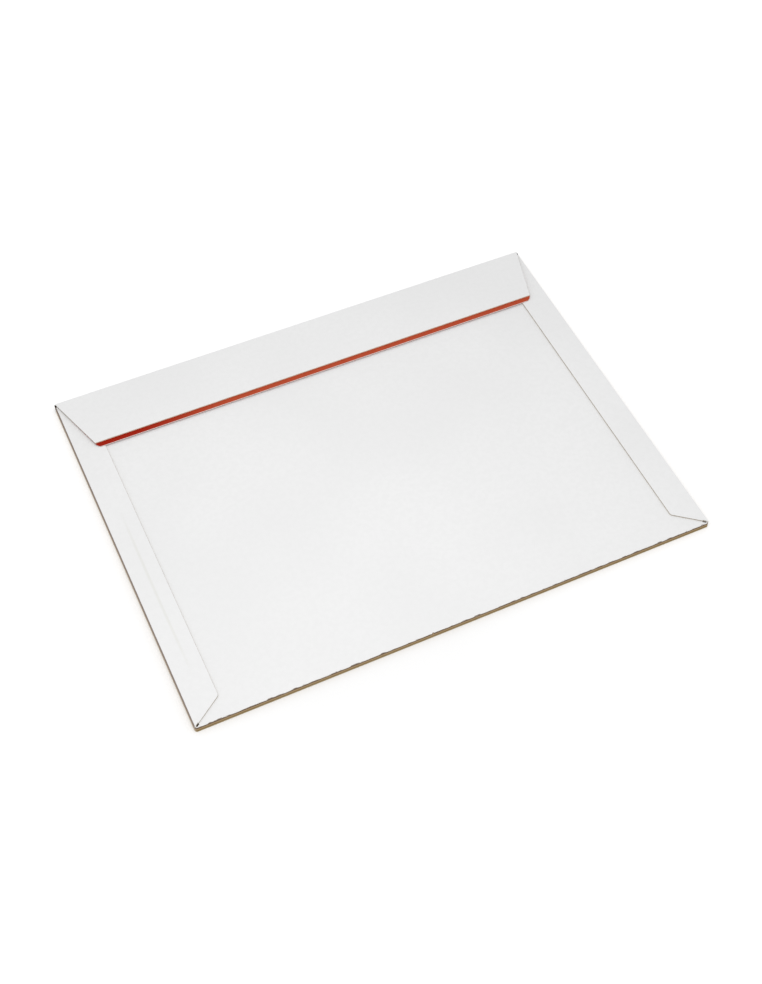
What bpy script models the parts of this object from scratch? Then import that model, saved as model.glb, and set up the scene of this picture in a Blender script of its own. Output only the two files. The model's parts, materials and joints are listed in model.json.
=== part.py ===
"""Cardboard mailing envelope: a white-lined board pocket with glued side flaps and a
closing flap that carries a peel-off adhesive strip.

It lies on its front panel, back up, as it would on a table. X runs along the mouth,
Y from the bottom fold to the mouth, Z up. Metres. The origin is at the middle of the
underside.
"""
import math

import bmesh
import bpy
from mathutils import Matrix, Vector

# The blank
WIDTH = 0.335               # along the bottom fold
HEIGHT = 0.249              # from the bottom fold to the mouth fold
BOARD = 0.0008              # one layer of board
POCKET_GAP = 0.0021         # clear height between the panels of the empty pocket
CREASE_ROUND = 0.0005       # outer radius of a folded rim
PLAN_ROUND = 0.0015         # outer radius of the two bottom corners, seen from above
BACK_SETBACK = 0.0060       # the back panel stops this far short of the mouth fold

# Side flaps, folded over the back panel and glued
LEFT_FLAP = 0.0195          # from the side fold to the cut edge
RIGHT_FLAP = 0.0189
LEFT_TAPER = 0.0138         # how far each end is cut back at the cut edge
RIGHT_TAPER = 0.0145
SIDE_CORNER = 0.0025        # radius where the cut edge turns into the taper
SIDE_TIP = 0.0007           # radius of the tip at the bottom corner
WALL_SETBACK = 0.0020       # the side walls stop this far short of the mouth fold

# Score lines cut into the folded walls, and the relief slots at the bottom corners
SCORE_DEPTH = 0.00022       # how deep a score cuts into the wall
SCORE_RISE = 0.0006         # height of a score line below a wall's rim or above its foot
RELIEF_LENGTH = 0.0022      # slot between a side flap's tip and the bottom wall
RELIEF_WIDTH = 0.0009
RELIEF_INSET = 0.0023       # middle of the slot from the side fold

# Mouth wall and closing flap
FOLD_GAP = 0.0003           # clearance at the two creases of the mouth
FLAP_LIFT = math.radians(0.8)      # the closed flap rises this much towards its free edge
FLAP_CLEARANCE = 0.0005     # the flap's root over the side flaps
FLAP_DEPTH = 0.0408         # from the mouth fold to the free edge
FLAP_ROOT_INSET = 0.0005    # each side of the flap at the fold
FLAP_LEFT_INSET = 0.0138    # its left side at the free edge
FLAP_RIGHT_INSET = 0.0113   # its right side at the free edge: the flap is cut a little askew
MOUTH_WALL_INSET = 0.0009   # each end of the mouth wall from the envelope's side

# Self-adhesive closure under the flap
STRIP_GAP = 0.0001          # clearance between the laid-on layers
ADHESIVE_WIDTH = 0.0180
ADHESIVE_MARGIN = 0.0030    # from the flap's free edge and its slanted sides
ADHESIVE_THICK = 0.0001
LINER_STANDOUT = 0.0030     # finger lift beyond the flap's free edge
LINER_COVER = 0.0030        # how far the liner reaches past the adhesive's inner edge
LINER_THICK = 0.0001

ROUND_STEPS = 4             # straight pieces in a small rounding
LAP = 0.00002               # solids and cuts pass each other by this, so no two faces coincide
SAME_PLACE = 1e-6           # points this close together are one point
SAME_PLANE = math.radians(0.1)     # faces this close to flat are one face

# Heights and places that follow from the sizes above
PANELS_TOP = 2 * BOARD + POCKET_GAP          # upper face of the back panel
SIDE_TOP = PANELS_TOP + BOARD                # upper face of the side flaps
FOLD_Y = HEIGHT / 2 - BOARD / 2              # both creases of the mouth wall
LOWER_CREASE_Z = BOARD / 2
UPPER_CREASE_Z = SIDE_TOP + FLAP_CLEARANCE + BOARD / 2
CREASE_REACH = BOARD / 2 + FOLD_GAP          # a board edge from the crease it folds about
ROLLED_EDGE = BOARD / 2 * 0.98               # nearly half round, with a hair of flat left


def clear_scene():
    for ob in list(bpy.data.objects):
        bpy.data.objects.remove(ob, do_unlink=True)


def collection(name):
    coll = bpy.data.collections.new(name)
    bpy.context.scene.collection.children.link(coll)
    return coll


def material(name, colour, roughness):
    mat = bpy.data.materials.new(name)
    mat.use_nodes = True
    bsdf = mat.node_tree.nodes["Principled BSDF"]
    bsdf.inputs["Base Color"].default_value = (*colour, 1.0)
    bsdf.inputs["Roughness"].default_value = roughness
    bsdf.inputs["Metallic"].default_value = 0.0
    return mat


def add_object(name, mesh, coll, mat=None):
    ob = bpy.data.objects.new(name, mesh)
    coll.objects.link(ob)
    if mat:
        mesh.materials.append(mat)
    return ob


def add_empty(name, location, coll):
    empty = bpy.data.objects.new(name, None)
    empty.empty_display_size = 0.01
    empty.location = location
    coll.objects.link(empty)
    return empty


def rounded_outline(corners):
    """Points of an outline whose corners are (x, y, radius); radius 0 stays sharp."""
    points = []
    count = len(corners)
    for i, (x, y, radius) in enumerate(corners):
        here = Vector((x, y))
        if radius == 0:
            points.append(here)
            continue
        before = (Vector(corners[i - 1][:2]) - here).normalized()
        after = (Vector(corners[(i + 1) % count][:2]) - here).normalized()
        half = before.angle(after) / 2
        centre = here + (before + after).normalized() * (radius / math.sin(half))
        first = here + before * (radius / math.tan(half)) - centre
        last = here + after * (radius / math.tan(half)) - centre
        sweep = first.angle_signed(last)
        for step in range(ROUND_STEPS + 1):
            turn = Matrix.Rotation(-sweep * step / ROUND_STEPS, 2)
            points.append(centre + turn @ first)
    return points


def board_mesh(name, points, low, high):
    """Closed flat piece: a filled 2D outline with its thickness from low to high."""
    curve = bpy.data.curves.new(name, "CURVE")
    curve.dimensions = "2D"
    curve.fill_mode = "BOTH"
    curve.extrude = (high - low) / 2
    spline = curve.splines.new("POLY")
    spline.points.add(len(points) - 1)
    for point, (x, y) in zip(spline.points, points):
        point.co = (x, y, 0, 1)
    spline.use_cyclic_u = True
    source = bpy.data.objects.new(name + "_outline", curve)
    bpy.context.scene.collection.objects.link(source)
    evaluated = source.evaluated_get(bpy.context.evaluated_depsgraph_get())
    mesh = bpy.data.meshes.new_from_object(evaluated)
    bpy.data.objects.remove(source, do_unlink=True)
    mesh.name = name
    bm = bmesh.new()
    bm.from_mesh(mesh)
    bmesh.ops.remove_doubles(bm, verts=bm.verts, dist=SAME_PLACE)
    bmesh.ops.translate(bm, verts=bm.verts, vec=(0, 0, (low + high) / 2))
    bmesh.ops.dissolve_limit(bm, angle_limit=SAME_PLANE, verts=bm.verts, edges=bm.edges)
    bmesh.ops.recalc_face_normals(bm, faces=bm.faces)
    bm.to_mesh(mesh)
    bm.free()
    return mesh


def round_edges(mesh, chosen, radius):
    """Round the edges whose two end points pass the test together."""
    bm = bmesh.new()
    bm.from_mesh(mesh)
    edges = [e for e in bm.edges if chosen(*(v.co for v in e.verts))]
    bmesh.ops.bevel(bm, geom=edges, offset=radius, segments=ROUND_STEPS, profile=0.5, affect="EDGES",
                    clamp_overlap=True)
    bmesh.ops.recalc_face_normals(bm, faces=bm.faces)
    bm.to_mesh(mesh)
    bm.free()


def block_mesh(name, low, high, turn=0.0, axis="Z"):
    """A cube from low to high, turned about its own centre."""
    low, high = Vector(low), Vector(high)
    bm = bmesh.new()
    bmesh.ops.create_cube(bm, size=1.0)
    bmesh.ops.scale(bm, vec=high - low, verts=bm.verts)
    bmesh.ops.rotate(bm, matrix=Matrix.Rotation(turn, 3, axis), verts=bm.verts)
    bmesh.ops.translate(bm, vec=(low + high) / 2, verts=bm.verts)
    mesh = bpy.data.meshes.new(name)
    bm.to_mesh(mesh)
    bm.free()
    return mesh


def join_or_cut(target, other, operation):
    """Keep the second solid as a hidden guide and combine it with the target."""
    other.hide_render = True
    other.display_type = "WIRE"
    mod = target.modifiers.new(other.name, "BOOLEAN")
    mod.operation = operation
    mod.solver = "EXACT"
    mod.object = other


def near(target, *values):
    return all(abs(value - target) < SAME_PLACE for value in values)


def panels_mesh():
    """Front panel, bottom wall and back panel as one block with rounded fold rims."""
    half = WIDTH / 2 - LAP
    mouth = FOLD_Y - CREASE_REACH
    corners = [(-half, -HEIGHT / 2, PLAN_ROUND), (half, -HEIGHT / 2, PLAN_ROUND),
               (half, mouth, 0), (-half, mouth, 0)]
    mesh = board_mesh("pocket", rounded_outline(corners), 0.0, PANELS_TOP)
    for rim in (0.0, PANELS_TOP):
        round_edges(mesh, lambda a, b: near(rim, a.z, b.z) and not near(mouth, a.y, b.y), CREASE_ROUND)
    return mesh


def side_flap_mesh(side):
    """A side flap with its wall, on the side x = side * WIDTH / 2."""
    depth, taper = (LEFT_FLAP, LEFT_TAPER) if side < 0 else (RIGHT_FLAP, RIGHT_TAPER)
    outer, inner = side * WIDTH / 2, side * (WIDTH / 2 - depth)
    foot, mouth = -HEIGHT / 2, HEIGHT / 2
    corners = [(outer, foot, SIDE_TIP), (inner, foot + taper, SIDE_CORNER),
               (inner, mouth - taper, SIDE_CORNER), (outer, mouth, 0)]
    mesh = board_mesh("side_flap", rounded_outline(corners), PANELS_TOP / 2, SIDE_TOP)
    round_edges(mesh, lambda a, b: near(SIDE_TOP, a.z, b.z) and near(outer, a.x, b.x), CREASE_ROUND)
    return mesh


def pocket_cavity(cutters):
    """The hollow between the panels, open at the mouth, the back panel's set-back edge and
    the notches where the side walls end."""
    inner = WIDTH / 2 - BOARD
    beyond = HEIGHT / 2 + BOARD
    hollow = block_mesh("hollow", (-inner, -HEIGHT / 2 + BOARD, BOARD),
                        (inner, beyond, BOARD + POCKET_GAP))
    mouth = block_mesh("mouth_cut", (-inner + LAP, HEIGHT / 2 - BACK_SETBACK, BOARD + POCKET_GAP / 2),
                       (inner - LAP, beyond + LAP, PANELS_TOP + LAP))
    ends = []
    for side in (-1, 1):
        low = (side * WIDTH / 2 - 2 * BOARD, HEIGHT / 2 - WALL_SETBACK, BOARD + LAP)
        high = (side * WIDTH / 2 + 2 * BOARD, beyond + BOARD, SIDE_TOP + BOARD)
        ends.append(block_mesh("wall_end", low, high))
    return [add_object(m.name, m, cutters) for m in (hollow, mouth, *ends)]


def score_lines(cutters):
    """Two fine grooves along each folded wall, where the board was scored."""
    size = SCORE_DEPTH * math.sqrt(2)
    run_x, run_y = WIDTH / 2 + BOARD, HEIGHT / 2 + BOARD
    made = []
    for z in (SCORE_RISE + BOARD / 2, PANELS_TOP - SCORE_RISE):
        low = (-run_x, -HEIGHT / 2 - size / 2, z - size / 2)
        high = (run_x, -HEIGHT / 2 + size / 2, z + size / 2)
        made.append(block_mesh("bottom_score", low, high, math.radians(45), "X"))
    for side in (-1, 1):
        for z in (SCORE_RISE + BOARD / 2, SIDE_TOP - SCORE_RISE):
            low = (side * WIDTH / 2 - size / 2, -run_y, z - size / 2)
            high = (side * WIDTH / 2 + size / 2, run_y, z + size / 2)
            made.append(block_mesh("side_score", low, high, math.radians(45), "Y"))
    return [add_object(m.name, m, cutters) for m in made]


def relief_slots(cutters):
    """Slots through the back at the bottom corners, which let the flap tips fold."""
    made = []
    for side, depth, taper in ((-1, LEFT_FLAP, LEFT_TAPER), (1, RIGHT_FLAP, RIGHT_TAPER)):
        up_fold = RELIEF_INSET * taper / depth
        centre = Vector((side * (WIDTH / 2 - RELIEF_INSET), -HEIGHT / 2 + up_fold, 0))
        reach = Vector((RELIEF_LENGTH / 2, RELIEF_WIDTH / 2, 0))
        low = centre - reach + Vector((0, 0, BOARD + POCKET_GAP / 2))
        high = centre + reach + Vector((0, 0, SIDE_TOP + BOARD))
        turn = -side * math.atan2(taper, depth)
        made.append(add_object("relief_slot", block_mesh("relief_slot", low, high, turn), cutters))
    return made


def make_pocket(coll, cutters, mat):
    pocket = add_object("pocket", panels_mesh(), coll, mat)
    for side, name in ((-1, "side_flap_left"), (1, "side_flap_right")):
        join_or_cut(pocket, add_object(name, side_flap_mesh(side), cutters), "UNION")
    for cutter in pocket_cavity(cutters) + score_lines(cutters) + relief_slots(cutters):
        join_or_cut(pocket, cutter, "DIFFERENCE")
    return pocket


def make_mouth_wall(coll, mat, crease):
    """The narrow wall between the two creases, with its foot rolled round the lower crease."""
    half = WIDTH / 2 - MOUTH_WALL_INSET
    top = UPPER_CREASE_Z - LOWER_CREASE_Z - CREASE_REACH
    corners = [(-half, -BOARD / 2, 0), (half, -BOARD / 2, 0), (half, top, 0), (-half, top, 0)]
    mesh = board_mesh("mouth_wall", rounded_outline(corners), -BOARD / 2, BOARD / 2)
    round_edges(mesh, lambda a, b: near(-BOARD / 2, a.y, b.y) and near(a.z, b.z), ROLLED_EDGE)
    wall = add_object("mouth_wall", mesh, coll, mat)
    wall.parent = crease
    wall.rotation_euler.x = math.radians(90)
    return wall


def flap_side(free_inset, depth):
    """Distance of the flap's slanted side from the middle of the envelope at this depth."""
    slope = (free_inset - FLAP_ROOT_INSET) / FLAP_DEPTH
    return WIDTH / 2 - FLAP_ROOT_INSET - slope * depth


def flap_corners(start, end, margin, round_over=0.0):
    """Outline on the flap from one depth to another, in the flap's own frame. Its far corners
    are rounded over the last round_over of that depth."""
    corners = []
    for side, free_inset in ((-1, FLAP_LEFT_INSET), (1, FLAP_RIGHT_INSET)):
        slant = math.atan2(FLAP_DEPTH, free_inset - FLAP_ROOT_INSET)
        radius = round_over / math.sin(slant) / math.tan(slant / 2)
        ends = [(side * (flap_side(free_inset, start) - margin), BOARD / 2 - start, 0),
                (side * (flap_side(free_inset, end) - margin), BOARD / 2 - end, radius)]
        corners += ends if side < 0 else ends[::-1]
    return corners


def make_flap_piece(name, corners, low, high, coll, mat, crease):
    """A flat piece in the flap's own frame, which is tilted up at the upper crease."""
    mesh = board_mesh(name, rounded_outline(corners), low, high)
    piece = add_object(name, mesh, coll, mat)
    piece.parent = crease
    piece.rotation_euler.x = -FLAP_LIFT
    return piece


def make_closing_flap(coll, mat, crease):
    flap = make_flap_piece("closing_flap", flap_corners(0.0, FLAP_DEPTH, 0.0),
                           -BOARD / 2, BOARD / 2, coll, mat, crease)
    round_edges(flap.data, lambda a, b: near(BOARD / 2, a.y, b.y) and near(a.z, b.z), ROLLED_EDGE)
    return flap


def make_closure(coll, adhesive_mat, liner_mat, crease):
    """Adhesive band under the free edge, covered by a liner that stands out as a finger lift."""
    adhesive_top = -BOARD / 2 - STRIP_GAP
    liner_top = adhesive_top - ADHESIVE_THICK - STRIP_GAP
    band_end = FLAP_DEPTH - ADHESIVE_MARGIN
    band_start = band_end - ADHESIVE_WIDTH
    make_flap_piece("adhesive_strip", flap_corners(band_start, band_end, ADHESIVE_MARGIN),
                    adhesive_top - ADHESIVE_THICK, adhesive_top, coll, adhesive_mat, crease)
    make_flap_piece("release_liner",
                    flap_corners(band_start - LINER_COVER, FLAP_DEPTH + LINER_STANDOUT, 0.0, LINER_STANDOUT),
                    liner_top - LINER_THICK, liner_top, coll, liner_mat, crease)


def main():
    clear_scene()
    coll = collection("cardboard_envelope")
    cutters = collection("cutters")
    board = material("white_lined_board", (0.80, 0.80, 0.80), 0.65)
    wall_board = material("white_lined_board_wall", (0.78, 0.78, 0.78), 0.65)
    flap_board = material("white_lined_board_flap", (0.79, 0.79, 0.79), 0.65)
    adhesive = material("hot_melt_adhesive", (0.75, 0.72, 0.62), 0.25)
    liner = material("red_release_liner", (0.44, 0.06, 0.03), 0.45)
    lower_crease = add_empty("lower_crease", (0, FOLD_Y, LOWER_CREASE_Z), coll)
    upper_crease = add_empty("upper_crease", (0, 0, UPPER_CREASE_Z - LOWER_CREASE_Z), coll)
    upper_crease.parent = lower_crease
    make_pocket(coll, cutters, board)
    make_mouth_wall(coll, wall_board, lower_crease)
    make_closing_flap(coll, flap_board, upper_crease)
    make_closure(coll, adhesive, liner, upper_crease)


main()
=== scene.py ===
"""Looks of the cardboard mailing envelope: white clay-coated board with raw brown fibre at
its scored folds, thin grey cut edges, and a red siliconised liner under the closing flap.

Lengths are in metres, in the frame's own axes: X along the mouth, Y from the bottom fold
to the mouth, Z up. The envelope lies on its front panel, so its back shows.
"""
import json
import math

import bmesh
import bpy
from mathutils import Matrix, Vector, noise


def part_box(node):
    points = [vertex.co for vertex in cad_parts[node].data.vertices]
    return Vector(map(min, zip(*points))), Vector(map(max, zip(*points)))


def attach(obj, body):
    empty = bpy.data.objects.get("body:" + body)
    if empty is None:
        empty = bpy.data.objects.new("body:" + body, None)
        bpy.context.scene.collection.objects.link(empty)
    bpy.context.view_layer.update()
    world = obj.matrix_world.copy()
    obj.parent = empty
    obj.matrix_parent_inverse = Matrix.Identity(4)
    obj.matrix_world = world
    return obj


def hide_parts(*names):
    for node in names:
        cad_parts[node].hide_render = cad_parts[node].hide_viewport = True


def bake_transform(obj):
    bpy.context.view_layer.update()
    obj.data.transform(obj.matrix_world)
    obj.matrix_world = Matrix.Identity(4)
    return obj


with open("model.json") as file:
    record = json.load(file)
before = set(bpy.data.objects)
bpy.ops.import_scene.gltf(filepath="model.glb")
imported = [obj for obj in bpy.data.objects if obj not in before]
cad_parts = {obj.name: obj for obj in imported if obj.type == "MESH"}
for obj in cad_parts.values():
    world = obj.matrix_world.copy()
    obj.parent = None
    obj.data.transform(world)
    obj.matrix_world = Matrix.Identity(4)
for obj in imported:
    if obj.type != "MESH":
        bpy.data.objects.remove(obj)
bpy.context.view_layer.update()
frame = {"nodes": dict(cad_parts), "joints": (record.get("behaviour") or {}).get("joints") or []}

MM = 0.001

# The envelope, as its solids give it
POCKET_LOW, POCKET_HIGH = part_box("pocket")
WALL_LOW, WALL_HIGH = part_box("mouth_wall")
WIDTH = POCKET_HIGH.x - POCKET_LOW.x
HALF_WIDTH = WIDTH / 2
FOOT = POCKET_LOW.y                     # outer face of the bottom fold
SIDE_TOP = POCKET_HIGH.z                # upper face of the side flaps
MOUTH = WALL_HIGH.y                     # outer face of the mouth wall
BOARD = WALL_HIGH.y - WALL_LOW.y
PANELS_TOP = SIDE_TOP - BOARD           # upper face of the back panel
CREASES = {joint["name"]: Vector(joint["pos_m"]) for joint in frame["joints"]}
LOWER_CREASE = CREASES["mouth_fold"]
UPPER_CREASE = CREASES["flap_fold"]
CREASE_REACH = 0.7 * MM                 # from a crease to where its neighbours are flat

# The closing flap, in its own frame at the upper crease
FLAP_LIFT = math.radians(0.8)
FLAP_DEPTH = 40.4 * MM                  # from the mouth's outer face to the free edge
FLAP_ROOT_INSET = 0.5 * MM
FLAP_LEFT_INSET = 13.8 * MM             # the flap's left side at the free edge
FLAP_RIGHT_INSET = 11.8 * MM            # its right side, cut a little askew
ADHESIVE_WIDTH = 18.0 * MM
ADHESIVE_MARGIN = 3.0 * MM
ADHESIVE_THICK = 0.1 * MM
FILM_GAP = 0.01 * MM                    # between the flap, the adhesive and the liner
LINER_STANDOUT = 3.1 * MM
LINER_COVER = 3.0 * MM
LINER_THICK = 0.20 * MM
LINER_HANG = 0.60 * MM                  # how far the lip's edge hangs
LINER_HANG_POWER = 1.5                  # how late along the lip it starts to hang
LINER_HEM_ROWS = 3                      # last rows of its mesh, 0.2 mm, where the cut frays to the core

# The folded walls, and the raw fibre that shows along them
WALL_SETBACK = 2.0 * MM                 # the side walls end this far short of the mouth
PLAN_ROUND = 1.5 * MM                   # outer corner radius seen from above
RIM_ROUND = 0.5 * MM                    # of the bottom fold, and of the side folds at the floor
SIDE_RIM_ROUND = 0.1 * MM               # of the side folds' upper rim
RAW_MARGIN_SIDE = 0.52 * MM             # how far the torn lining draws back beyond the rim's rounding
RAW_MARGIN_BOTTOM = 0.08 * MM
RAGGED = 0.05 * MM                      # unevenness of that line
RAGGED_WAVES = ((1.5 * MM, 1.0), (0.5 * MM, 0.6))   # length and strength of its waves
NICK_X = -20.7 * MM                     # a nick in the bottom fold's rim
NICK_HALF = 0.45 * MM
NICK_BAND = 0.64                        # place up the fold whose pale fibre fills the nick

# The bead of glue that shows through the left side flap
GLUE_FROM_SIDE = 10.7 * MM
GLUE_MIDDLE = -31.0 * MM                # y of its middle
GLUE_HALF_LENGTH = 70.0 * MM
GLUE_EVEN = 0.35                        # share of its length that is evenly dark
GLUE_HALF_WIDTH = 1.3 * MM
GLUE_CORE = 0.2 * MM                    # half the width that is evenly dark
GLUE_BOW = 0.10                         # curve of its line, 1/m
GLUE_STRENGTH = 0.17

# The picture
IMAGE_SIZE = (762, 984)
FOCAL_LENGTH_PX = 1471.71
VIEW_AZIMUTH = math.radians(-27.11)
VIEW_ELEVATION = math.radians(54.646)
VIEW_ROLL = math.radians(2.393)
VIEW_DISTANCE = 0.91132
VIEW_TARGET = Vector((-4.509, -19.159, 0.0)) * MM
WHITE = (1.0, 1.0, 1.0, 1.0)


def linear(hex_colour):
    """An sRGB hex colour as linear RGBA."""
    channels = [int(hex_colour[i:i + 2], 16) / 255 for i in (1, 3, 5)]
    return (*(c / 12.92 if c <= 0.04045 else ((c + 0.055) / 1.055) ** 2.4 for c in channels), 1.0)


def connect(tree, node, inputs):
    """Gives a node's sockets, by name or place, their values or the sockets that feed them."""
    for socket, value in dict(inputs).items():
        if isinstance(value, bpy.types.NodeSocket):
            tree.links.new(value, node.inputs[socket])
        else:
            node.inputs[socket].default_value = value


def add(tree, kind, inputs=(), **settings):
    """Adds a node; inputs maps a socket's name or place to a value or another socket."""
    made = tree.nodes.new("ShaderNode" + kind)
    for name, value in settings.items():
        setattr(made, name, value)
    connect(tree, made, inputs)
    return made


def maths(tree, operation, *values):
    """The result of a Math node for these values or sockets."""
    return add(tree, "Math", dict(enumerate(values)), operation=operation).outputs[0]


def empty_tree(owner):
    """The cleared node tree of a material or a world."""
    owner.use_nodes = True
    owner.node_tree.nodes.clear()
    return owner.node_tree


def new_material(name):
    """An empty material, its tree and its Principled shader."""
    material = bpy.data.materials.new(name)
    tree = empty_tree(material)
    shader = add(tree, "BsdfPrincipled")
    add(tree, "OutputMaterial", {"Surface": shader.outputs[0]})
    return material, tree, shader


def place(tree, stretch=(1.0, 1.0, 1.0)):
    """The point on the envelope at rest, squeezed along each axis."""
    coordinate = add(tree, "TexCoord")
    mapping = add(tree, "Mapping", {"Vector": coordinate.outputs["Object"], "Scale": stretch})
    return mapping.outputs[0]


def pattern(tree, size, stretch=(1.0, 1.0, 1.0), detail=2.0, roughness=0.5):
    """Noise whose blotches are about size metres across."""
    made = add(tree, "TexNoise", {"Vector": place(tree, stretch), "Scale": 1.0 / size,
                                  "Detail": detail, "Roughness": roughness})
    return made.outputs["Fac"]


def remap(tree, value, low, high, to_low, to_high, kind="SMOOTHSTEP"):
    """The value carried from one range to another, and held at its ends."""
    made = add(tree, "MapRange", {"Value": value, "From Min": low, "From Max": high,
                                  "To Min": to_low, "To Max": to_high}, interpolation_type=kind)
    return made.outputs[0]


def blend_colours(tree, share, first, second, kind="MIX"):
    """Mixes two colours or colour sockets by share."""
    made = add(tree, "Mix", {0: share, 6: first, 7: second}, data_type="RGBA", blend_type=kind)
    return made.outputs[2]


def banded(tree, value, stops):
    """A colour ramp through the given stops."""
    ramp = add(tree, "ValToRGB", {"Fac": value})
    elements = ramp.color_ramp.elements
    while len(elements) < len(stops):
        elements.new(0.5)
    for element, (at, colour) in zip(elements, stops):
        element.position = at
        element.color = linear(colour)
    return ramp.outputs["Color"]


def relief(tree, strength, depth, height, normal=None):
    """The normal of a surface with this bump."""
    inputs = {"Strength": strength, "Distance": depth, "Height": height}
    if normal:
        inputs["Normal"] = normal
    return add(tree, "Bump", inputs).outputs[0]


def white_clay_coated_liner(name="white_clay_coated_liner", extra=None):
    """Bleached kraft under a matt clay coat: even and bright, with the faintest cloudy formation."""
    material, tree, shader = new_material(name)
    clouds = pattern(tree, 3.0 * MM, detail=3.0)
    drift = pattern(tree, 90 * MM, detail=1.0)
    tone = blend_colours(tree, remap(tree, drift, 0.3, 0.7, 0.0, 1.0),
                         linear("#F0F0F0"), linear("#F3F3F3"))
    tone = blend_colours(tree, remap(tree, clouds, 0.35, 0.65, 0.0, 0.35), tone, linear("#EDEDED"))
    if extra:
        tone = extra(tree, tone)
    grain = pattern(tree, 0.35 * MM, detail=2.0)
    rolls = pattern(tree, 40 * MM, stretch=(0.35, 1.0, 1.0), detail=1.0)
    fine = relief(tree, 0.12, 0.02 * MM, grain)
    connect(tree, shader, {"Base Color": tone, "Normal": relief(tree, 0.35, 0.6 * MM, rolls, fine),
                           "Roughness": remap(tree, clouds, 0.3, 0.7, 0.52, 0.62),
                           "IOR": 1.45, "Specular IOR Level": 0.35})
    return material


def glue_shadow(tree, tone):
    """The bead of glue under the left side flap, faintly seen through the board."""
    position = add(tree, "SeparateXYZ", {0: place(tree)})
    along = maths(tree, "SUBTRACT", position.outputs["Y"], GLUE_MIDDLE)
    bow = maths(tree, "POWER", along, 2.0)
    line = maths(tree, "MULTIPLY_ADD", bow, GLUE_BOW, -HALF_WIDTH + GLUE_FROM_SIDE)
    away = maths(tree, "ABSOLUTE", maths(tree, "SUBTRACT", position.outputs["X"], line))
    across = remap(tree, away, GLUE_CORE, GLUE_HALF_WIDTH, 1.0, 0.0)
    from_middle = maths(tree, "ABSOLUTE", along)
    ends = remap(tree, from_middle, GLUE_HALF_LENGTH * GLUE_EVEN, GLUE_HALF_LENGTH, 1.0, 0.0)
    share = maths(tree, "MULTIPLY", across, ends)
    faint = maths(tree, "MULTIPLY", share, GLUE_STRENGTH)
    return blend_colours(tree, faint, tone, linear("#C9C9B4"))


# Bands of the raw fibre: place from the foot (0) to the upper rim (1) of a fold, and colour.
# The bottom fold's last one is the white lining, drawn over its rim.
# On the bottom fold the bands are partly painted shade and light. The dark band at 0.38 and the darkest
# ones from 0.88 to 0.98 paint shade low on the wall and under the crease. The paler band from 0.50 to 0.64
# paints light on the bulge between them. The rest is the fibre's own colour.
BOTTOM_FOLD_BANDS_WITH_PAINTED_SHADE = ((0.0, "#CDC0A0"), (0.12, "#BBA883"), (0.24, "#A08B67"), (0.38, "#7F6B48"),
                     (0.50, "#AC946F"), (0.64, "#BCA382"), (0.76, "#957F66"), (0.88, "#6C594B"),
                     (0.98, "#75675C"), (0.995, "#EFEFEF"))
SIDE_FOLD_BANDS = ((0.0, "#E9E0D2"), (0.30, "#E2D2BD"), (0.52, "#C8B7A3"), (0.78, "#A3958A"),
                   (1.0, "#8B807B"))


def raw_brown_fibre_with_painted_shade():
    """Torn recycled fibre where a score cut the lining: matt, furry, streaked along the fold; on the
    bottom fold its bands also carry painted shade and light.
    """
    material, tree, shader = new_material("raw_brown_fibre_with_painted_shade")
    across = add(tree, "Attribute", attribute_name="across").outputs["Fac"]
    at_side = add(tree, "Attribute", attribute_name="at_side").outputs["Fac"]
    streaks = pattern(tree, 0.25 * MM, stretch=(0.05, 0.05, 1.0), detail=3.0)
    band = maths(tree, "ADD", remap(tree, streaks, 0.3, 0.7, -0.03, 0.03), across)
    # The bottom fold's bands carry painted shade and light as well as the fibre's colour.
    tone = blend_colours(tree, at_side, banded(tree, band, BOTTOM_FOLD_BANDS_WITH_PAINTED_SHADE),
                         banded(tree, band, SIDE_FOLD_BANDS))
    fuzz = pattern(tree, 0.6 * MM, detail=4.0, roughness=0.7)
    tone = blend_colours(tree, remap(tree, fuzz, 0.3, 0.7, 0.0, 0.5), tone, linear("#C9BCA4"),
                         "SOFT_LIGHT")
    connect(tree, shader, {"Base Color": tone, "Normal": relief(tree, 0.6, 0.08 * MM, streaks),
                           "Roughness": 0.92, "Specular IOR Level": 0.2})
    return material


def cut_board_edge():
    """Die-cut board seen from the side: grey-brown plies, streaked along the cut."""
    material, tree, shader = new_material("cut_board_edge")
    plies = pattern(tree, 0.16 * MM, stretch=(0.04, 0.04, 1.0), detail=2.0)
    tone = blend_colours(tree, remap(tree, plies, 0.35, 0.65, 0.0, 1.0),
                         linear("#A79E92"), linear("#C2BBB1"))
    connect(tree, shader, {"Base Color": tone, "Normal": relief(tree, 0.4, 0.04 * MM, plies),
                           "Roughness": 0.85})
    return material


def painted_notch_shade():
    """Painted shade: near black-brown, for the lumpy blocks that stand in for the shade deep in each
    corner's notch.
    """
    material, tree, shader = new_material("painted_notch_shade")
    shade_mottle = pattern(tree, 0.3 * MM, detail=3.0)
    # Painted shade: near black-brown, mottled, where the notch is only in shadow.
    tone = blend_colours(tree, shade_mottle, linear("#241B12"), linear("#41342A"))
    connect(tree, shader, {"Base Color": tone, "Roughness": 0.95, "Specular IOR Level": 0.1})
    return material


def pressed_board_edge():
    """The flap's free edge: the die drew the lining over it, so it is cream, with a trace of fibre."""
    material, tree, shader = new_material("pressed_board_edge")
    plies = pattern(tree, 0.2 * MM, stretch=(0.03, 0.03, 1.0), detail=2.0)
    tone = blend_colours(tree, remap(tree, plies, 0.35, 0.65, 0.0, 1.0),
                         linear("#D2BBA4"), linear("#E6D6C3"))
    connect(tree, shader, {"Base Color": tone, "Roughness": 0.8})
    return material


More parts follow.
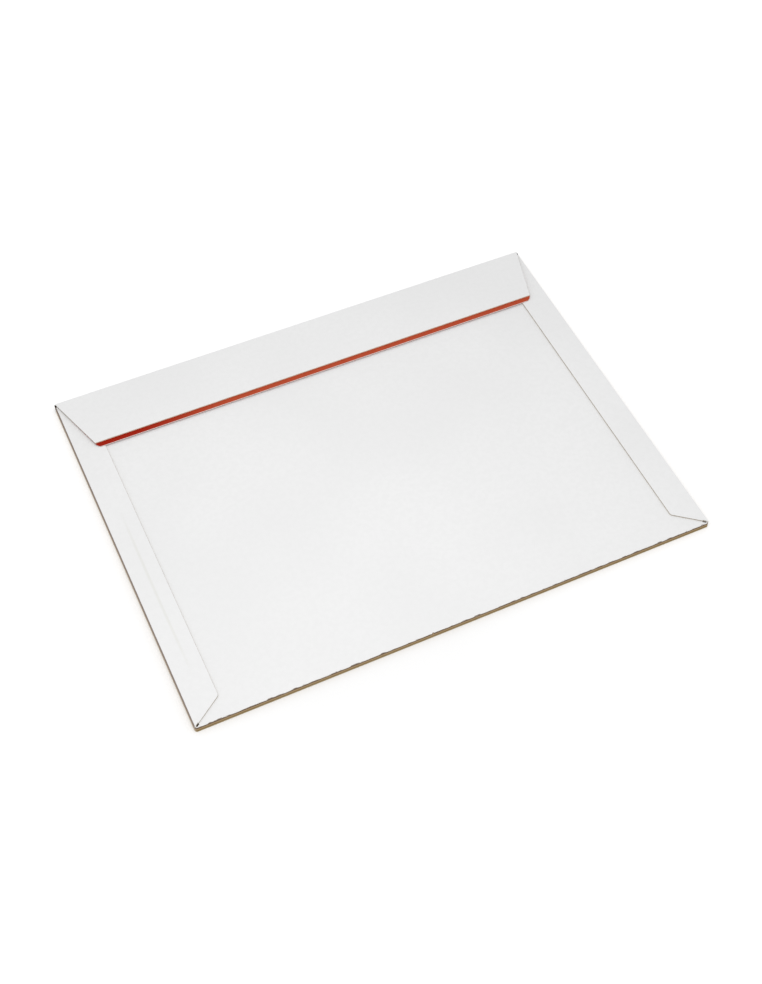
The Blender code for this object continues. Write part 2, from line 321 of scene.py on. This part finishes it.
def brown_board_back():
    """The uncoated inner side of the board: recycled brown with flecks of darker fibre."""
    material, tree, shader = new_material("brown_board_back")
    clouds = pattern(tree, 2.5 * MM, detail=4.0, roughness=0.6)
    tone = blend_colours(tree, remap(tree, clouds, 0.3, 0.7, 0.0, 1.0),
                         linear("#A8906B"), linear("#B7A17D"))
    flecks = add(tree, "TexVoronoi", {"Vector": place(tree, (0.35, 1.0, 1.0)),
                                      "Scale": 1 / (1.6 * MM), "Randomness": 1.0})
    tone = blend_colours(tree, remap(tree, flecks.outputs["Distance"], 0.05, 0.16, 0.55, 0.0), tone,
                         linear("#7C6646"))
    felt = pattern(tree, 0.3 * MM, stretch=(0.4, 1.0, 1.0), detail=3.0)
    connect(tree, shader, {"Base Color": tone, "Normal": relief(tree, 0.3, 0.05 * MM, felt),
                           "Roughness": 0.88, "Specular IOR Level": 0.25})
    return material


def red_siliconised_paper_with_painted_light():
    """Release paper dyed red under a silicone coat: deep and satin, with painted light, darker at its left
    end and paler, more orange, to the right.
    """
    material, tree, shader = new_material("red_siliconised_paper_with_painted_light")
    position = add(tree, "SeparateXYZ", {0: place(tree)})
    # Painted light: the red darkens towards the left end and turns paler and more orange to the right, as
    # the light fell along the lip.
    along = remap(tree, position.outputs["X"], -0.8 * HALF_WIDTH, -0.33 * HALF_WIDTH, 0.0, 1.0)
    tone = blend_colours(tree, along, linear("#A11C03"), linear("#BA4D2F"))
    clouds = pattern(tree, 2.0 * MM, detail=3.0)
    tone = blend_colours(tree, remap(tree, clouds, 0.3, 0.7, 0.0, 0.12), tone, linear("#7E1A0E"))
    weave = pattern(tree, 0.4 * MM, detail=2.0)
    connect(tree, shader, {"Base Color": tone, "Normal": relief(tree, 0.15, 0.02 * MM, weave),
                           "Roughness": 0.42, "IOR": 1.43, "Specular IOR Level": 0.12})
    return material


def pale_paper_edge():
    """The liner's cut edge, where the undyed core of the paper shows pale pink."""
    material, tree, shader = new_material("pale_paper_edge")
    fibres = pattern(tree, 0.3 * MM, detail=2.0)
    tone = blend_colours(tree, fibres, linear("#E9CFC8"), linear("#F3E4DF"))
    connect(tree, shader, {"Base Color": tone, "Roughness": 0.8})
    return material


def hot_melt_adhesive():
    """Pressure-sensitive hot melt: a pale amber film with a wet shine and slight ribs."""
    material, tree, shader = new_material("hot_melt_adhesive")
    ribs = pattern(tree, 0.8 * MM, stretch=(0.1, 1.0, 1.0), detail=2.0)
    tone = blend_colours(tree, remap(tree, ribs, 0.3, 0.7, 0.0, 1.0),
                         linear("#D2C59E"), linear("#E0D6B6"))
    connect(tree, shader, {"Base Color": tone, "Normal": relief(tree, 0.3, 0.05 * MM, ribs),
                           "Roughness": 0.22, "IOR": 1.48})
    return material


def add_object(name, data):
    """A mesh, a lamp or a camera as an object in the scene."""
    made = bpy.data.objects.new(name, data)
    bpy.context.scene.collection.objects.link(made)
    return made


def add_piece(name, mesh, materials, body):
    """A finished mesh as an object that rides on a body; one that blends is given none."""
    for material in materials:
        mesh.materials.append(material)
    piece = add_object(name, mesh)
    if body:
        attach(piece, body)
    return piece


def finished_mesh(name, bm):
    """The mesh of what was built in bm."""
    mesh = bpy.data.meshes.new(name)
    bm.to_mesh(mesh)
    bm.free()
    return mesh


def smooth_but_sharp(mesh, angle=math.radians(35)):
    """Smooth shading that keeps the edges beyond this angle."""
    mesh.shade_smooth()
    mesh.set_sharp_from_angle(angle=angle)


def steps(first, last, count):
    """Evenly spaced values from first to last."""
    return [first + (last - first) * i / count for i in range(count + 1)]


LINED, PLAIN, CUT, PRESSED = 0, 1, 2, 3     # finishes: outer lining, inner side, cut and pressed edges
COLUMNS = 60                            # columns of a sheet's mesh along the mouth


def sheet_mesh(name, stations, free_edge=CUT, hem_rows=0):
    """A closed piece of board. Each station along it is an outer (y, z) point, an inner one
    and the x of its left and right ends. The last hem_rows of its outer side have the finish
    of a cut."""
    bm = bmesh.new()
    outer, inner = [], []
    for top, under, (left, right) in stations:
        places = steps(left, right, COLUMNS)
        outer.append([bm.verts.new((x, *top)) for x in places])
        inner.append([bm.verts.new((x, *under)) for x in places])
    last_row = len(stations) - 1
    for i in range(last_row):
        outer_finish = CUT if i >= last_row - hem_rows else LINED
        for j in range(COLUMNS):
            for grid, finish in ((outer, outer_finish), (inner, PLAIN)):
                corners = (grid[i][j], grid[i][j + 1], grid[i + 1][j + 1], grid[i + 1][j])
                bm.faces.new(corners).material_index = finish
    around = [(i, 0) for i in range(last_row)]
    around += [(last_row, j) for j in range(COLUMNS)]
    around += [(i, COLUMNS) for i in range(last_row, 0, -1)]
    around += [(0, j) for j in range(COLUMNS, 0, -1)]
    for (i, j), (k, m) in zip(around, around[1:] + around[:1]):
        face = bm.faces.new((outer[i][j], outer[k][m], inner[k][m], inner[i][j]))
        face.material_index = free_edge if i == k == last_row else CUT
    bmesh.ops.recalc_face_normals(bm, faces=bm.faces)
    mesh = finished_mesh(name, bm)
    smooth_but_sharp(mesh)
    return mesh


def flap_point(depth, height):
    """(y, z) of a point of the closing flap, by its depth from the mouth and its height off the middle."""
    along = BOARD / 2 - depth
    turn = Matrix.Rotation(-FLAP_LIFT, 2)
    return Vector((UPPER_CREASE.y, UPPER_CREASE.z)) + turn @ Vector((along, height))


def flap_ends(depth, margin=0.0):
    """x of the flap's left and right sides at this depth, less a margin."""
    share = depth / FLAP_DEPTH
    left, right = (HALF_WIDTH - FLAP_ROOT_INSET - (free_inset - FLAP_ROOT_INSET) * share - margin
                   for free_inset in (FLAP_LEFT_INSET, FLAP_RIGHT_INSET))
    return -left, right


def arc(centre, radius, first, last, count):
    """Points (y, z) on an arc; angles are turned from +Y towards +Z."""
    middle = Vector((centre.y, centre.z))
    return [middle + radius * Vector((math.cos(a), math.sin(a))) for a in steps(first, last, count)]


def corner_path(points, count):
    """Evenly spaced (y, z) points along a bent line, count steps for each of its stretches."""
    path = [Vector(points[0])]
    for first, last in zip(points, points[1:]):
        path += [Vector(first).lerp(Vector(last), i / count) for i in range(1, count + 1)]
    return path


FOLD_STEPS = 5                          # steps on each side of a fold's inner corner
ROW_GAP = 0.1 * MM                      # keeps an inner row clear of the one before it
FLAT_GAP = 0.3 * MM                     # from the upper fold's last row to the flap's first
FLAP_ROWS = 14
WALL_HALF = HALF_WIDTH - 0.9 * MM       # half the mouth wall's length
WALL_SEAM = LOWER_CREASE.z + 2.1 * MM   # where the two folded sheets meet on the mouth wall
OUTER_Y, INNER_Y = MOUTH, MOUTH - BOARD


def lower_fold_stations():
    """From the front panel's end, round the lower crease, up the mouth wall to the seam."""
    panel_end = LOWER_CREASE.y - CREASE_REACH
    wall_start = LOWER_CREASE.z + CREASE_REACH
    outer = [Vector((panel_end, 0.0))]
    outer += arc(LOWER_CREASE, BOARD / 2, math.radians(-90), 0.0, 2 * FOLD_STEPS)
    outer += [Vector((OUTER_Y, z)) for z in steps(wall_start, WALL_SEAM, 2)]
    corner = [(panel_end + ROW_GAP / 2, BOARD), (INNER_Y, BOARD), (INNER_Y, wall_start)]
    inner = [Vector((panel_end, BOARD))]
    inner += corner_path(corner, FOLD_STEPS)
    inner += [Vector((INNER_Y, z)) for z in steps(wall_start + ROW_GAP, WALL_SEAM, 2)]
    return [(o, i, (-WALL_HALF, WALL_HALF)) for o, i in zip(outer, inner)]


def upper_fold_stations():
    """From the seam up the mouth wall and round the upper crease to the flap's flat start."""
    wall_end = UPPER_CREASE.z - CREASE_REACH
    outer = [Vector((OUTER_Y, z)) for z in steps(WALL_SEAM, wall_end, 2)]
    inner = [Vector((INNER_Y, z)) for z in steps(WALL_SEAM, wall_end - ROW_GAP, 2)]
    flap_normal = math.radians(90) - FLAP_LIFT
    outer += arc(UPPER_CREASE, BOARD / 2, 0.0, flap_normal, 2 * FOLD_STEPS)
    flap_start = BOARD / 2 + CREASE_REACH
    corner_depth = BOARD / 2 + (BOARD / 2 - BOARD / 2 * math.sin(FLAP_LIFT)) / math.cos(FLAP_LIFT)
    inner += corner_path([(INNER_Y, wall_end), flap_point(corner_depth, -BOARD / 2),
                          flap_point(flap_start, -BOARD / 2)], FOLD_STEPS)
    left, right = flap_ends(flap_start)
    last = len(outer) - 1
    ends = zip(steps(-WALL_HALF, left, last), steps(WALL_HALF, right, last))
    return list(zip(outer, inner, ends))


def flap_stations():
    """The flat of the closing flap, from beside the crease to the free edge."""
    depths = steps(BOARD / 2 + CREASE_REACH + FLAT_GAP, FLAP_DEPTH, FLAP_ROWS)
    return [(flap_point(d, BOARD / 2), flap_point(d, -BOARD / 2), flap_ends(d)) for d in depths]


def make_mouth_wall(materials):
    """The lower crease and the lower half of the mouth wall, bending from the pocket."""
    mesh = sheet_mesh("mouth_wall_board", lower_fold_stations())
    piece = add_piece("mouth_wall_board", mesh, materials, None)
    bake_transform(piece)
    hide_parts("mouth_wall")


def make_closing_flap(materials):
    """The upper half of the mouth wall, the upper crease and the closing flap in one sheet."""
    mesh = sheet_mesh("closing_flap_board", upper_fold_stations() + flap_stations(), free_edge=PRESSED)
    piece = add_piece("closing_flap_board", mesh, materials, None)
    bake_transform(piece)
    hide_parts("closing_flap")


def strip_mesh(name, rows, top, thick, hem_rows=0):
    """A thin strip under the flap; rows are (depth, its two ends), top is measured from the board's
    middle. What stands out past the flap hangs a little."""
    stations = []
    for depth, ends in rows:
        past = max(0.0, (depth - FLAP_DEPTH) / LINER_STANDOUT)
        upper = top - LINER_HANG * past ** LINER_HANG_POWER
        stations.append((flap_point(depth, upper), flap_point(depth, upper - thick), ends))
    return sheet_mesh(name, stations, hem_rows=hem_rows)


def make_adhesive(materials):
    """The band of hot melt under the closing flap."""
    end = FLAP_DEPTH - ADHESIVE_MARGIN
    rows = [(d, flap_ends(d, ADHESIVE_MARGIN)) for d in steps(end - ADHESIVE_WIDTH, end, 4)]
    mesh = strip_mesh("adhesive_film", rows, -BOARD / 2 - FILM_GAP, ADHESIVE_THICK)
    piece = add_piece("adhesive_film", mesh, materials, "flap")
    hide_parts("adhesive_strip")


def make_liner(materials):
    """The release liner: it covers the adhesive and stands out past the flap as a red lip,
    whose round ends start at the flap's corners."""
    start = FLAP_DEPTH - ADHESIVE_MARGIN - ADHESIVE_WIDTH - LINER_COVER
    rows = [(d, flap_ends(d)) for d in steps(start, FLAP_DEPTH, 6)]
    slant = math.atan2(FLAP_DEPTH, (FLAP_LEFT_INSET + FLAP_RIGHT_INSET) / 2 - FLAP_ROOT_INSET)
    radius = LINER_STANDOUT / (1 - math.cos(slant))
    left, right = flap_ends(FLAP_DEPTH)
    for heading in steps(slant, 0.0, 12)[1:]:
        depth = FLAP_DEPTH + radius * (math.cos(heading) - math.cos(slant))
        drawn_in = radius * (math.sin(slant) - math.sin(heading))
        rows.append((depth, (left + drawn_in, right - drawn_in)))
    top = -BOARD / 2 - 2 * FILM_GAP - ADHESIVE_THICK
    mesh = strip_mesh("release_liner_paper", rows, top, LINER_THICK, LINER_HEM_ROWS)
    piece = add_piece("release_liner_paper", mesh, materials, "flap")
    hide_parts("release_liner")


HOLLOW_FLOOR, HOLLOW_ROOF = BOARD, PANELS_TOP - BOARD
FACE_MARGIN = 0.05 * MM
SIDE_MARGIN = 0.4 * MM                  # a face this close to a fold's outer face belongs to it
LEVEL_NORMAL = 0.7                      # a face is level when its normal's z is beyond this
WELD = 0.002 * MM                       # corners of the solid this close are one
CUT_RIM_AND_SEAM_SHADE = 0.13 * MM                    # the lining stops this far short of a side flap's cut edge; the band left in the cut edge's colour is partly that bare rim and partly painted shade along the seam
CUT_FROM_SIDE = 1.0 * MM                # the cut edges lie at least this far in from the side walls


def is_flap_cut(edge):
    """Whether an edge is the upper rim of a side flap's die-cut edge on the back panel."""
    first, second = (vert.co for vert in edge.verts)
    level = abs(first.z - SIDE_TOP) < FACE_MARGIN and abs(second.z - SIDE_TOP) < FACE_MARGIN
    finishes = {face.material_index for face in edge.link_faces}
    far_in = abs(first.x + second.x) / 2 < HALF_WIDTH - CUT_FROM_SIDE
    return level and finishes == {LINED, CUT} and far_in


def make_pocket(materials):
    """The pocket's own solid with a finish for each kind of face."""
    bm = bmesh.new()
    bm.from_mesh(frame["nodes"]["pocket"].data)
    bmesh.ops.remove_doubles(bm, verts=bm.verts, dist=WELD)
    for face in bm.faces:
        centre = face.calc_center_median()
        inside = HOLLOW_FLOOR - FACE_MARGIN < centre.z < HOLLOW_ROOF + FACE_MARGIN
        at_fold = HALF_WIDTH - abs(centre.x) < SIDE_MARGIN or centre.y - FOOT < SIDE_MARGIN
        if abs(face.normal.z) > LEVEL_NORMAL:
            face.material_index = PLAIN if inside else LINED
        else:
            face.material_index = CUT if not inside or at_fold else PLAIN
    # Bevels the side flaps' upper cut rims in the cut edge's colour: partly the bare rim, partly painted
    # shade along the seam.
    rims_for_seam_line = [edge for edge in bm.edges if is_flap_cut(edge)]
    bmesh.ops.bevel(bm, geom=rims_for_seam_line, offset=CUT_RIM_AND_SEAM_SHADE, segments=1, affect="EDGES", material=CUT)
    mesh = finished_mesh("pocket_board", bm)
    mesh.shade_flat()
    piece = add_piece("pocket_board", mesh, materials, "pocket")
    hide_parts("pocket")


FOLD_STEP = 0.6 * MM                    # spacing of the sections along the raw folds
CORNER_STEPS = 8                        # sections round each bottom corner
TOP_STEP = 0.3 * MM                     # stretch over which the side walls' top drops to the bottom's
FLAP_FOOT = 0.8 * MM                    # where the side flaps end, from the bottom fold


def fold_route():
    """Places round the two side folds and the bottom fold: point, outward direction, length so far."""
    turn = PLAN_ROUND
    mouth_end = MOUTH - WALL_SETBACK
    straight_side = mouth_end - (FOOT + turn)
    straight_bottom = WIDTH - 2 * turn
    quarter = turn * math.pi / 2
    marks = [straight_side, quarter, straight_bottom, quarter, straight_side]
    lengths = []
    done = 0.0
    for index, mark in enumerate(marks):
        step = FOLD_STEP if index % 2 == 0 else quarter / CORNER_STEPS
        count = max(1, round(mark / step))
        lengths += [done + mark * i / count for i in range(count)]
        done += mark
    lengths.append(done)
    route = []
    for length in lengths:
        if length <= marks[0]:
            point, outward = (-HALF_WIDTH, mouth_end - length), (-1.0, 0.0)
        elif length <= sum(marks[:2]):
            angle = (length - marks[0]) / turn
            outward = (-math.cos(angle), -math.sin(angle))
            point = (-HALF_WIDTH + turn + turn * outward[0], FOOT + turn + turn * outward[1])
        elif length <= sum(marks[:3]):
            point, outward = (-HALF_WIDTH + turn + length - sum(marks[:2]), FOOT), (0.0, -1.0)
        elif length <= sum(marks[:4]):
            angle = (length - sum(marks[:3])) / turn
            outward = (math.sin(angle), -math.cos(angle))
            point = (HALF_WIDTH - turn + turn * outward[0], FOOT + turn + turn * outward[1])
        else:
            point, outward = (HALF_WIDTH, FOOT + turn + length - sum(marks[:4])), (1.0, 0.0)
        route.append((Vector(point), Vector(outward), length))
    return route


PROUD = 0.05 * MM                       # the raw fibre stands this far off the board's solid
FOOT_FLARE = 0.50 * MM                  # and this much further at the foot of the bottom fold
SIDE_FLARE = 0.3                        # share of that at the foot of the side folds
SUNK = 0.08 * MM                        # the right fold's rim, which shows no fibre, is sunk this far
RIGHT_FOLD = 0.7                        # a section looking right by more than this is on that fold
FOOT_ANGLE, RIM_ANGLE = math.radians(-85), math.radians(70)     # where the bead's rounding ends
ROUND_STEPS, WALL_STEPS = 4, 14
FLOOR_GAP = 0.01 * MM
TORN_EDGE = 0.05 * MM                   # width of the torn lining's edge
FUZZ = 0.05 * MM
FUZZ_LENGTH, FUZZ_HEIGHT = 2.5 * MM, 0.25 * MM
FUZZ_SKIN = 0.2 * MM                    # what lies further in than this stays even
SCORE_LINES = (0.42, 0.80)              # places of the score lines, as shares of the wall's height
SCORE_SINK = 0.04 * MM
SCORE_HALF = 0.16 * MM
BEAD_BACK = 0.75 * MM                   # how far the bead reaches into the board
BEAD_INSET = 0.3 * MM                   # of its back, from the foot and from the rim


def fold_section(top, rise, length, outward):
    """One section of a raw fold: (outward offset, height, share of the way up), closed on its
    inside. rise goes from 0 at the bottom fold to 1 at the side folds."""
    def ragged(size, height):
        return noise.noise(Vector((length / size, height / FUZZ_HEIGHT, size / MM)))
    margin = RAW_MARGIN_SIDE * outward.x ** 2 + RAW_MARGIN_BOTTOM * outward.y ** 2
    margin += RAGGED * sum(strength * ragged(size, 0.0) for size, strength in RAGGED_WAVES)
    rim = SIDE_RIM_ROUND * rise + RIM_ROUND * (1 - rise)
    rim_proud = -SUNK if outward.x > RIGHT_FOLD else PROUD
    flare = FOOT_FLARE * (SIDE_FLARE + (1 - SIDE_FLARE) * outward.y ** 2)
    foot_reach, rim_reach = RIM_ROUND + PROUD, rim + rim_proud
    section = []
    for angle in steps(FOOT_ANGLE, 0.0, ROUND_STEPS):
        height = max(RIM_ROUND + foot_reach * math.sin(angle), FLOOR_GAP)
        section.append((-RIM_ROUND + foot_reach * math.cos(angle), height))
    section += [(PROUD, z) for z in steps(RIM_ROUND, top - rim, WALL_STEPS)[1:-1]]
    for angle in steps(0.0, RIM_ANGLE, ROUND_STEPS):
        section.append((-rim + rim_reach * math.cos(angle), top - rim + rim_reach * math.sin(angle)))
    section.append((-rim - margin, top + rim_proud))
    section.append((-rim - margin - TORN_EDGE, top - 2 * SUNK))
    made = []
    for offset, height in section:
        share = height / top
        if offset > -FUZZ_SKIN:
            groove = sum(math.exp(-((share - line) * top / SCORE_HALF) ** 2) for line in SCORE_LINES)
            offset += FUZZ * abs(ragged(FUZZ_LENGTH, height)) - SCORE_SINK * groove
            offset += flare * (1 - share) ** 2
        made.append((offset, height, share))
    made += [(-BEAD_BACK, height, height / top) for height in (top - BEAD_INSET, BEAD_INSET)]
    return made


def make_raw_folds(materials):
    """The torn brown fibre along the left, bottom and right folds, as one continuous bead."""
    bm = bmesh.new()
    across = bm.verts.layers.float.new("across")
    at_side = bm.verts.layers.float.new("at_side")
    rings = []
    for point, outward, length in fold_route():
        over_side = min(1.0, max(0.0, (point.y - FOOT - FLAP_FOOT) / TOP_STEP + 0.5))
        rise = over_side * over_side * (3 - 2 * over_side)
        top = PANELS_TOP + (SIDE_TOP - PANELS_TOP) * rise
        nicked = abs(point.x - NICK_X) < NICK_HALF
        ring = []
        for offset, height, share in fold_section(top, rise, length, outward):
            spot = point + outward * offset
            vert = bm.verts.new((spot.x, spot.y, height))
            vert[across] = min(share, NICK_BAND) if nicked else share
            vert[at_side] = outward.x ** 2
            ring.append(vert)
        rings.append(ring)
    for ring, following in zip(rings, rings[1:]):
        for k in range(len(ring)):
            m = (k + 1) % len(ring)
            bm.faces.new((ring[k], ring[m], following[m], following[k]))
    bm.faces.new(rings[0])
    bm.faces.new(rings[-1])
    bmesh.ops.recalc_face_normals(bm, faces=bm.faces)
    mesh = finished_mesh("raw_fold_fibre", bm)
    smooth_but_sharp(mesh, math.radians(60))
    add_piece("raw_fold_fibre", mesh, materials, "pocket")


SHADE_BLOCK_TUCK = 0.05 * MM                   # the shade block's clearance in its notch
SHADE_BLOCK_DROP = 0.8 * BOARD                 # how far its top lies under the upper crease
SHADE_BLOCK_CUTS = 7                           # cuts along each edge of the cube it is shaped from
SHADE_BLOCK_RAGGED = 0.12 * MM
SHADE_BLOCK_LUMPS = (0.7 * MM, 0.25 * MM)      # sizes of its unevenness


def make_notch_shade_blocks(materials):
    """A dark lumpy block in the notch at each end of the mouth, beside the mouth wall's end: painted
    shade, put where the notch is only in shadow.
    """
    for side, name in ((-1, "notch_shade_block_left"), (1, "notch_shade_block_right")):
        low, high = sorted((side * (HALF_WIDTH - SHADE_BLOCK_TUCK), side * (WALL_HALF + SHADE_BLOCK_TUCK)))
        bm = bmesh.new()
        bmesh.ops.create_cube(bm, size=1.0)
        bmesh.ops.subdivide_edges(bm, edges=bm.edges, cuts=SHADE_BLOCK_CUTS, use_grid_fill=True)
        tall = UPPER_CREASE.z - SHADE_BLOCK_DROP - BOARD
        size = Vector((high - low, WALL_SETBACK - 2 * SHADE_BLOCK_TUCK, tall))
        middle = Vector(((low + high) / 2, MOUTH - WALL_SETBACK / 2, BOARD + tall / 2))
        for vert in bm.verts:
            spot = middle + vert.co * size
            pull = sum(abs(noise.noise(spot / lump)) for lump in SHADE_BLOCK_LUMPS)
            vert.co = spot - vert.co.normalized() * SHADE_BLOCK_RAGGED * pull
        mesh = finished_mesh(name, bm)
        mesh.shade_smooth()
        add_piece(name, mesh, materials, "pocket")


def make_camera():
    """The camera stands where the picture was taken from, rolled by as much as it was."""
    azimuth, elevation = VIEW_AZIMUTH, VIEW_ELEVATION
    back = Vector((math.sin(azimuth) * math.cos(elevation), -math.cos(azimuth) * math.cos(elevation),
                   math.sin(elevation)))
    level = Vector((math.cos(azimuth), math.sin(azimuth), 0.0))
    up = back.cross(level)
    right = math.cos(VIEW_ROLL) * level + math.sin(VIEW_ROLL) * up
    data = bpy.data.cameras.new("view")
    data.sensor_width = 36.0
    data.lens = data.sensor_width * FOCAL_LENGTH_PX / max(IMAGE_SIZE)
    data.clip_start, data.clip_end = 0.01, 20.0
    camera = add_object("view", data)
    turned = Matrix((right, back.cross(right), back)).transposed().to_4x4()
    camera.matrix_world = Matrix.Translation(VIEW_TARGET + back * VIEW_DISTANCE) @ turned
    bpy.context.scene.camera = camera


DOME_LEVEL = 0.75                       # share of the light that comes evenly from all round
KEY_LEVEL = 0.29                        # share from the soft box, on a level surface under it
KEY_FOOT = Vector((-55, -110, 0)) * MM  # the place it hangs over, where the envelope is brightest
KEY_LEAN = Vector((-0.05, -0.05, 1.0))  # towards the soft box from there
KEY_DISTANCE = 0.50
KEY_SIZE = 0.30
FLOOR_COLOUR = "#E6E6E6"
FLOOR_LIFT = 0.21                       # under the soft box, where the envelope's shadow must show
FLOOR_LIFT_FAR = 0.56                   # well away from it, where the picture is pure white
FLOOR_NEAR, FLOOR_FAR = 0.05, 0.60      # distances from there between which it grows
FLOOR_SIZE = 4.0
FLOOR_DROP = 0.02 * MM                  # its clearance under the envelope


def seen_ray(tree):
    """1 for rays of the view and for those seen in gloss or glass, 0 for the light on the object."""
    path = add(tree, "LightPath")
    seen = maths(tree, "MAXIMUM", path.outputs["Is Camera Ray"], path.outputs["Is Glossy Ray"])
    return maths(tree, "MAXIMUM", seen, path.outputs["Is Transmission Ray"])


def make_lights():
    """Even light from all round, seen as pure white, and one soft box from above."""
    world = bpy.data.worlds.new("studio")
    bpy.context.scene.world = world
    tree = empty_tree(world)
    strength = remap(tree, seen_ray(tree), 0.0, 1.0, DOME_LEVEL, 1.0, "LINEAR")
    light = add(tree, "Background", {"Color": WHITE, "Strength": strength})
    add(tree, "OutputWorld", {"Surface": light.outputs[0]})
    data = bpy.data.lights.new("key", "AREA")
    data.shape = "SQUARE"
    data.size = KEY_SIZE
    direction = KEY_LEAN.normalized()
    data.energy = KEY_LEVEL * math.pi ** 2 * KEY_DISTANCE ** 2 / direction.z
    key = add_object("key", data)
    key.visible_camera = False
    key.matrix_world = (Matrix.Translation(KEY_FOOT + direction * KEY_DISTANCE)
                        @ direction.to_track_quat("Z", "Y").to_matrix().to_4x4())


def white_sweep():
    """The studio's white paper, lit up to pure white away from the envelope's shadow."""
    material = bpy.data.materials.new("white_sweep")
    tree = empty_tree(material)
    matt = add(tree, "BsdfDiffuse", {"Color": linear(FLOOR_COLOUR)})
    away = add(tree, "VectorMath", {0: place(tree), 1: KEY_FOOT}, operation="DISTANCE")
    level = remap(tree, away.outputs["Value"], FLOOR_NEAR, FLOOR_FAR, FLOOR_LIFT, FLOOR_LIFT_FAR, "LINEAR")
    seen = maths(tree, "MULTIPLY", level, seen_ray(tree))
    lift = add(tree, "Emission", {"Color": WHITE, "Strength": seen})
    both = add(tree, "AddShader", {0: matt.outputs[0], 1: lift.outputs[0]})
    add(tree, "OutputMaterial", {"Surface": both.outputs[0]})
    return material


def make_floor():
    """The floor of the studio, which isn't part of the envelope."""
    bm = bmesh.new()
    bmesh.ops.create_grid(bm, x_segments=1, y_segments=1, size=FLOOR_SIZE)
    bmesh.ops.translate(bm, verts=bm.verts, vec=(0, 0, -FLOOR_DROP))
    mesh = finished_mesh("floor", bm)
    mesh.materials.append(white_sweep())
    add_object("floor", mesh)


def main():
    lined = white_clay_coated_liner()
    glued = white_clay_coated_liner("white_clay_coated_liner_glued", glue_shadow)
    plain = brown_board_back()
    cut = cut_board_edge()
    red = red_siliconised_paper_with_painted_light()
    make_pocket((glued, plain, cut))
    make_raw_folds((raw_brown_fibre_with_painted_shade(),))
    # Dark blocks of painted shade in the notches at the mouth's ends.
    make_notch_shade_blocks((painted_notch_shade(),))
    make_mouth_wall((lined, plain, cut))
    make_closing_flap((lined, plain, cut, pressed_board_edge()))
    make_adhesive((hot_melt_adhesive(),) * 3)
    make_liner((red, red, pale_paper_edge()))
    make_camera()
    make_lights()
    make_floor()
    bpy.context.scene.view_settings.view_transform = "Standard"


main()
